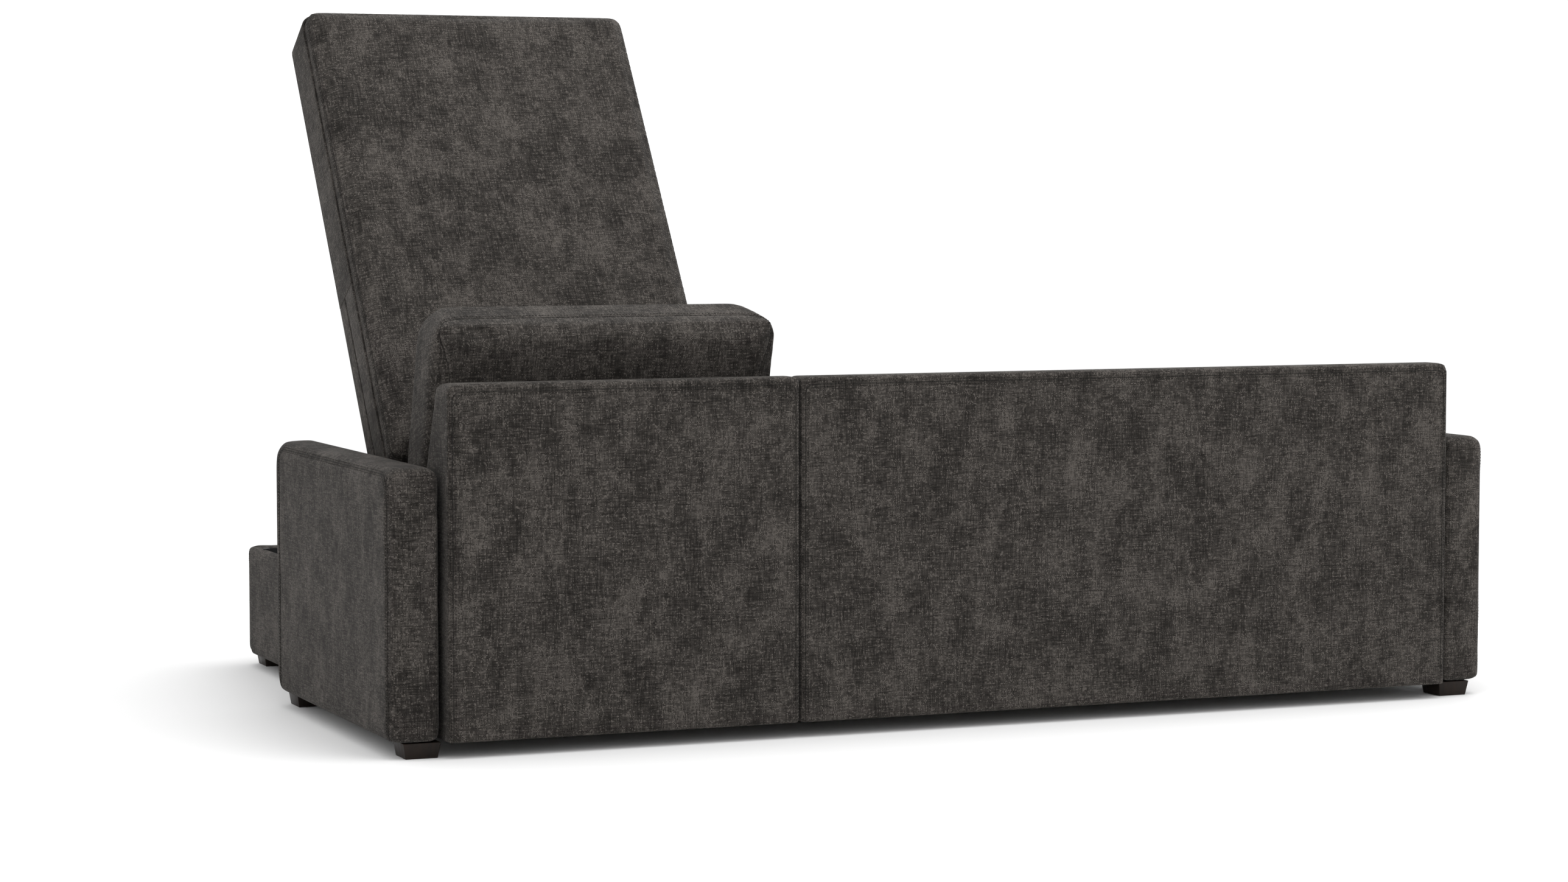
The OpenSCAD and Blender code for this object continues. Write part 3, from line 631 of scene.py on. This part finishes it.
# ---- Loose back cushion ----
# Fibre in a boxed cover, standing on the deck and leaning on the chaise back. Both panels are sewn
# to the band with a topstitched seam, and its upper corners are large and round.
cushion_lean = radians(16.4)
cushion_turn = Matrix.Rotation(-cushion_lean, 4, "X")
cushion = copy_solid("loose_back_cushion", "back_cushion")
cushion.data.transform(cushion_turn)
cushion_cloth = chenille("cushion_chenille", lean=-cushion_lean)
low, high = ease_in(cushion, (-0.004, 0.002, -0.003))
pull_over(cushion, 0.009, 5.0, 0.018, low - Vector((0.009, 0, 0)), high + Vector((0.008, 0.008, 0.008)),
          sink=0.002, smooth=7)
seams = []
for level, step, inset in ((high.y - 0.012, -1, 0.006), (low.y + 0.002, 1, 0.018)):
    rows = [[Vector((p.x, level + step * g, p.y)) for p in path_round(
        (low.x + inset, low.z + 0.020), (high.x - inset, high.z - inset), 0.072, open_end=True)]
        for g in (0.0, 0.005)]
    seams.append((rows[0], (rows[1],), False))
thread = sew(cushion, seams, depth=0.003)
for part in (cushion, thread):
    part.data.transform(cushion_turn.inverted())
rest_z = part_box("back_cushion")[0].z
for vertex in cushion.data.vertices:
    vertex.co.z = max(vertex.co.z, rest_z)
dress(cushion, cushion_cloth, "chaise_back_cushion", "back_cushion", fill=0.75, thread=thread)

# ---- Lid: base and seat pad ----
# The base is a flat covered tray round a wooden ladder frame. The pad is a thick foam slab in its own
# cover, screwed on over a thin board, so that a dark slit shows between the two.
joints = {joint["name"]: joint for joint in frame["joints"]}
hinge_open = Vector(joints["lid_tilt"]["pos_m"])
hinge_closed = Vector((hinge_open.x, back_y - 0.464, 0.214))
lid_turn = radians(56)
open_up = (Matrix.Translation(hinge_open) @ Matrix.Rotation(-lid_turn, 4, "X")
           @ Matrix.Translation(-hinge_closed))
lid_cloth = chenille("lid_chenille", lean=lid_turn)
lid_corner = 0.030

pad = copy_solid("lid_seat_pad", "lid_pad")
pad.data.transform(open_up.inverted())
low, high = ease_in(pad, (0.001, 0.001, 0.002))
pull_over(pad, 0.011, 4.0, 0.012, low, high + Vector((0, 0, 0.008)), sink=0.002)
seams = []
for level, drop in ((high.z - 0.012, 0.006), (low.z + 0.012, -0.006)):
    row = [Vector((p.x, p.y, level)) for p in
           path_round((low.x - 0.002, low.y - 0.002), (high.x + 0.002, high.y + 0.002), lid_corner)]
    seams.append((row, ([mark - Vector((0, 0, drop)) for mark in row],), True))
thread = sew(pad, seams, depth=0.0025)
for part in (pad, thread):
    part.data.transform(open_up)
dress(pad, lid_cloth, "lid", "lid_pad", fill=0.9, thread=thread)

rear_y = back_y - 0.445
lid_length = 1.120
base_low = Vector((low.x, rear_y - lid_length, 0.281))
base_high = Vector((high.x, rear_y, 0.330))
base_ease = Vector((0.001, 0.001, 0))
base = cut_block("lid_base", base_low + base_ease, base_high - base_ease)
round_edges(base, lambda m, d: abs(d.z) > 0.9 and m.y < base_low.y + 0.01, lid_corner, 8)
round_edges(base, lambda m, d: abs(d.z) > 0.9 and m.y > base_high.y - 0.01, 0.014)
round_edges(base, lambda m, d: abs(d.z) < 0.1, 0.008, 4)
pull_over(base, 0.012, 2.0, 0.003, base_low, base_high)
base.data.transform(open_up)
dress(base, lid_cloth, "lid", "lid_base_cover", fill=0.95)

# A band of the cover cloth joins pad and base round the front and forward of the arms, so the slit
# shows only behind it.
band_proud = -0.0012
band_rear = back_y - 0.886
band_heights = (0.288, 0.392)
line = path_round((base_low.x - band_proud, -band_rear),
                  (base_high.x + band_proud, band_proud - base_low.y), lid_corner, open_end=True)
bpy.ops.object.select_all(action="DESELECT")
bpy.ops.mesh.primitive_plane_add(size=1)
band = bpy.context.object
band.name = "lid_band"
bpy.ops.object.mode_set(mode="EDIT")
shape = bmesh.from_edit_mesh(band.data)
bmesh.ops.delete(shape, geom=shape.verts[:], context="VERTS")
edges = [[shape.verts.new((mark.x, -mark.y, level)) for mark in line] for level in band_heights]
for low_a, low_b, high_b, high_a in zip(edges[0], edges[0][1:], edges[1][1:], edges[1]):
    shape.faces.new((low_a, low_b, high_b, high_a))
bmesh.update_edit_mesh(band.data)
bpy.ops.mesh.select_all(action="SELECT")
bpy.ops.mesh.normals_make_consistent(inside=False)
bpy.ops.object.mode_set(mode="OBJECT")
finish_with(band, "SOLIDIFY", thickness=0.005, offset=0)
finish_with(band, "BEVEL", width=0.0015, segments=2, limit_method="ANGLE", angle_limit=radians(50))
only(band)
bpy.ops.object.shade_smooth_by_angle(angle=radians(50))
band.data.transform(open_up)
band.data.materials.append(lid_cloth)
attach(band, "lid")

# Behind it the cover lies flat on base and pad apart, and the slit runs open between them.
slit = (0.3295, 0.3345)
strips = []
for side, (inner, outer) in (("outer", (base_high.x - 0.004, base_high.x + 0.001)),
                             ("inner", (base_low.x - 0.001, base_low.x + 0.004))):
    for part, (bottom, top) in (("base", (band_heights[0], slit[0])), ("pad", (slit[1], band_heights[1]))):
        strip = cut_block(f"lid_{part}_strip_{side}", (inner, band_rear, bottom),
                          (outer, rear_y - 0.014, top))
        round_edges(strip, lambda m, d: True, 0.0015, 2)
        strips.append(strip)
only(*strips)
bpy.ops.object.join()
strips = bpy.context.object
strips.name = "lid_side_strips"
bpy.ops.object.shade_smooth_by_angle(angle=radians(50))
strips.data.transform(open_up)
strips.data.materials.append(lid_cloth)
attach(strips, "lid")

# A black fibreboard panel closes the underside of the base.
panel_in = 0.018
under = cut_block("lid_under_panel", base_low + Vector((panel_in, panel_in, -0.0015)),
                  Vector((base_high.x - panel_in, base_high.y - panel_in, base_low.z + 0.004)))
round_edges(under, lambda m, d: abs(d.z) > 0.9 and m.y < base_low.y + 0.03, lid_corner - panel_in, 8)
round_edges(under, lambda m, d: abs(d.z) > 0.9 and m.y > base_high.y - 0.03, 0.008, 3)
round_edges(under, lambda m, d: abs(d.z) < 0.1 and m.z < base_low.z, 0.001, 2)
under.data.transform(open_up)
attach(under, "lid")

# ---- Boards and frames ----
# Planed softwood rails and ribs, birch plywood seats, and a storage box of boards coloured near black. They
# are glued and screwed together, and the covers are stapled to them.
mottle, given, wanted = new_group(
    "fine_mottle", [("Place", "NodeSocketVector"), ("Size", "NodeSocketFloat"),
                    ("Dark", "NodeSocketColor"), ("Light", "NodeSocketColor")],
    [("Color", "NodeSocketColor"), ("Roughness", "NodeSocketFloat"), ("Height", "NodeSocketFloat")])
fine = noise(mottle, given["Place"], 1.0, 5.0, 0.6)
mottle.links.new(given["Size"], fine.node.inputs["Scale"])
tint = mottle.nodes.new("ShaderNodeMix")
tint.data_type = "RGBA"
mottle.links.new(spread(mottle, fine, 0.3, 0.7), tint.inputs["Factor"])
mottle.links.new(given["Dark"], tint.inputs["A"])
mottle.links.new(given["Light"], tint.inputs["B"])
mottle.links.new(tint.outputs["Result"], wanted["Color"])
mottle.links.new(spread(mottle, fine, 0.3, 0.7, 0.32, 0.58), wanted["Roughness"])
mottle.links.new(fine, wanted["Height"])


def surface(name, dark, light, size, stretch=(1, 1, 1), metal=0.0, rough=None, relief=0.0003, coat=0.0,
            shine=0.5):
    """A finish that varies over the piece: stretch draws its pattern out into grain or brushing."""
    material = bpy.data.materials.new(name)
    material.use_nodes = True
    tree = material.node_tree
    shader = tree.nodes["Principled BSDF"]
    source = tree.nodes.new("ShaderNodeTexCoord")
    draw_out = tree.nodes.new("ShaderNodeMapping")
    draw_out.inputs["Scale"].default_value = stretch
    tree.links.new(source.outputs["Object"], draw_out.inputs["Vector"])
    pattern = tree.nodes.new("ShaderNodeGroup")
    pattern.node_tree = mottle
    tree.links.new(draw_out.outputs[0], pattern.inputs["Place"])
    pattern.inputs["Size"].default_value = size
    pattern.inputs["Dark"].default_value = (*dark, 1)
    pattern.inputs["Light"].default_value = (*light, 1)
    tree.links.new(pattern.outputs["Color"], shader.inputs["Base Color"])
    if rough is None:
        tree.links.new(pattern.outputs["Roughness"], shader.inputs["Roughness"])
    else:
        polish = spread(tree, pattern.outputs["Height"], 0.3, 0.7, rough[0], rough[1])
        tree.links.new(polish, shader.inputs["Roughness"])
    bump = tree.nodes.new("ShaderNodeBump")
    bump.inputs["Strength"].default_value = 0.5
    bump.inputs["Distance"].default_value = relief
    tree.links.new(pattern.outputs["Height"], bump.inputs["Height"])
    tree.links.new(bump.outputs[0], shader.inputs["Normal"])
    shader.inputs["Metallic"].default_value = metal
    shader.inputs["Coat Weight"].default_value = coat
    shader.inputs["Specular IOR Level"].default_value = shine
    return material


def paint_nodes(material, *names):
    """Gives CAD pieces their finish."""
    for name in names:
        mesh = frame["nodes"][name].data
        mesh.materials.clear()
        mesh.materials.append(material)


softwood = surface("softwood", (0.40, 0.26, 0.13), (0.62, 0.45, 0.26), 60, (0.06, 1, 1), rough=(0.55, 0.8))
plywood = surface("birch_plywood", (0.46, 0.32, 0.18), (0.66, 0.50, 0.32), 50, (1, 0.07, 0.4),
                  rough=(0.5, 0.75))
near_black_board = surface("near_black_board", (0.008, 0.008, 0.009), (0.020, 0.020, 0.021), 400, rough=(0.5, 0.7))
paint_nodes(softwood, "chaise_back_frame", "sofa_back_frame", "chaise_arm_frame", "sofa_arm_frame",
            "seat_frame", "lid_rails")
paint_nodes(plywood, "lid_board")
# The deck board and the storage box's boards are coloured near black.
paint_nodes(near_black_board, "deck_board", "box_side_outer", "box_side_inner", "box_front_board",
            "box_rear_board", "box_floor")
under.data.materials.append(near_black_board)

# ---- Seat suspension and linings ----
# Elastic webbing is stapled across the seat frame, with black non-woven cloth over it, under the
# frame and between the lid's base and pad. Chenille covers the sofa's hidden end.
webbing = surface("elastic_webbing", (0.012, 0.012, 0.014), (0.06, 0.06, 0.066), 900, (1, 0.3, 1),
                  rough=(0.8, 0.95))
lining = surface("black_lining", (0.006, 0.006, 0.006), (0.022, 0.022, 0.023), 700, rough=(0.85, 1.0))
paint_nodes(webbing, "webbing_long", "webbing_cross")
paint_nodes(lining, "seat_deck", "dust_cover", "pad_board")
paint_nodes(cover_cloth, "joint_side_cover")

# ---- Feet ----
# Tapered walnut-stained blocks with softened edges under the corners, each on one bolt, and round
# moulded feet under the middle.
walnut = surface("walnut_stain", (0.004, 0.0022, 0.0014), (0.014, 0.008, 0.005), 90, (1, 1, 0.12),
                 rough=(0.40, 0.58), shine=0.2)
blocks = copy_solid("corner_feet", "feet")
finish_with(blocks, "BEVEL", width=0.0016, segments=3, limit_method="ANGLE", angle_limit=radians(40))
only(blocks)
bpy.ops.object.shade_smooth_by_angle(angle=radians(35))
blocks.data.materials.clear()
blocks.data.materials.append(walnut)
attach(blocks, "root")
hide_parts("feet")
moulding = surface("black_moulding", (0.010, 0.010, 0.010), (0.018, 0.018, 0.018), 500, rough=(0.4, 0.55))
rubber = surface("bumper_rubber", (0.008, 0.008, 0.008), (0.016, 0.016, 0.016), 300, rough=(0.6, 0.8))
paint_nodes(moulding, "centre_feet")
paint_nodes(rubber, "rim_bumpers")

# ---- Lift mechanism and fasteners ----
# Pressed zinc-plated steel arms, links, plates and brackets on turned pins, with black gas springs
# whose ground rods shine.
zinc = surface("zinc_plate", (0.38, 0.39, 0.41), (0.60, 0.61, 0.62), 55, metal=1.0, rough=(0.30, 0.48))
spring_black = surface("spring_black", (0.008, 0.008, 0.009), (0.014, 0.014, 0.015), 250, rough=(0.25, 0.4),
                       coat=0.2)
ground_steel = surface("ground_steel", (0.62, 0.63, 0.65), (0.74, 0.75, 0.77), 600, (1, 0.1, 0.1), metal=1.0,
                       rough=(0.08, 0.16), relief=0.00005)
both = [f"{part}_{side}" for part in ("base_plate", "lift_arm", "control_link", "lid_bracket")
        for side in ("outer", "inner")]
paint_nodes(zinc, *both, "base_pins", "arm_pins", "link_pins", "plate_screws", "bracket_screws",
            "connector_plates", "connector_hooks", "foot_bolts")
paint_nodes(spring_black, "gas_cylinder_outer", "gas_cylinder_inner")
paint_nodes(ground_steel, "gas_rod_outer", "gas_rod_inner")
